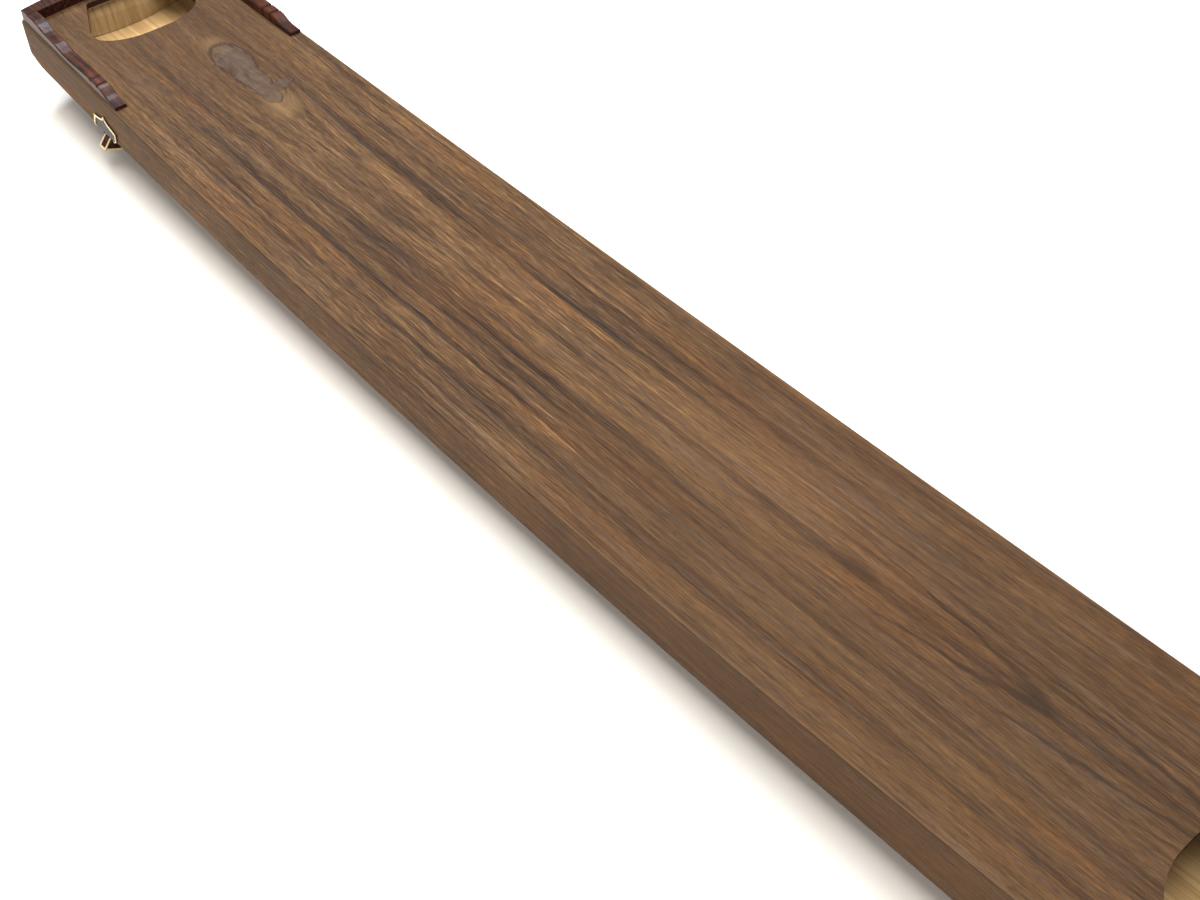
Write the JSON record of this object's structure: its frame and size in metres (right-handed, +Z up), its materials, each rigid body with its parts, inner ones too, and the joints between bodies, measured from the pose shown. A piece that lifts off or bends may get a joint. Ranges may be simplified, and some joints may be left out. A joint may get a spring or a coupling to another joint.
{
  "type": "long zither with strings (koto)",
  "caption": "Long hollow zither lying face down: bowed back board with sound holes, arched deck, strings over two end bridges, carved rear foot and plug-in front legs.",
  "frame": {"origin": "bottom centre of the whole part as it lies face down on its strings at the two end bridges", "axes": "+X along the instrument from its tail end to its head end, +Y across it, +Z up, out of the back board"},
  "size_m": [1.825, 0.2698, 0.1601],
  "materials": {
    "deck_wood": "scorched, brushed paulownia, satin",
    "back_board_wood": "scorched, brushed paulownia, satin",
    "inner_wood": "bare paulownia, unfinished",
    "bridge_wood": "polished rosewood",
    "cap_wood": "polished rosewood",
    "foot_wood": "polished rosewood",
    "plate_lacquer": "black lacquer, gloss",
    "gold_line": "gold leaf line, satin",
    "string": "twisted and waxed string, satin"
  },
  "bodies": {
    "instrument": {"deck_shell": "deck_wood", "back_board": "back_board_wood", "rib_tail": "inner_wood", "rib_middle": "inner_wood", "rib_head": "inner_wood", "tail_block": "inner_wood", "head_block": "inner_wood", "leg_socket_left": "inner_wood", "leg_socket_right": "inner_wood", "tail_bridge": "bridge_wood", "head_bridge": "bridge_wood", "tail_cap_plate": "cap_wood", "head_cap_plate": "cap_wood", "head_tongue": "cap_wood", "head_tongue_frame": "cap_wood", "rear_foot_bar": "foot_wood", "rear_foot_arm_left": "foot_wood", "rear_foot_arm_right": "foot_wood", "tail_saddle_plate": "plate_lacquer", "tail_bridge_gold_inner": "gold_line", "tail_bridge_gold_outer": "gold_line", "tail_bridge_gold_left": "gold_line", "tail_bridge_gold_right": "gold_line", "tail_leaf_gold_left": "gold_line", "tail_leaf_gold_right": "gold_line", "head_saddle_plate": "plate_lacquer", "head_bridge_gold_inner": "gold_line", "head_bridge_gold_outer": "gold_line", "head_bridge_gold_left": "gold_line", "head_bridge_gold_right": "gold_line", "head_leaf_gold_left": "gold_line", "head_leaf_gold_right": "gold_line", "string_01": "string", "string_02": "string", "string_03": "string", "string_04": "string", "string_05": "string", "string_06": "string", "string_07": "string", "string_08": "string", "string_09": "string", "string_10": "string", "string_11": "string", "string_12": "string", "string_13": "string"},
    "leg_left": {"front_leg_left": "foot_wood"},
    "leg_right": {"front_leg_right": "foot_wood"}
  },
  "joints": [
    {"name": "front_leg_left_pull", "type": "slide", "parent": "instrument", "child": "leg_left", "axis": [0, 0, 1], "range_m": [0, 0.05]},
    {"name": "front_leg_right_pull", "type": "slide", "parent": "instrument", "child": "leg_right", "axis": [0, 0, 1], "range_m": [0, 0.05]}
  ]
}
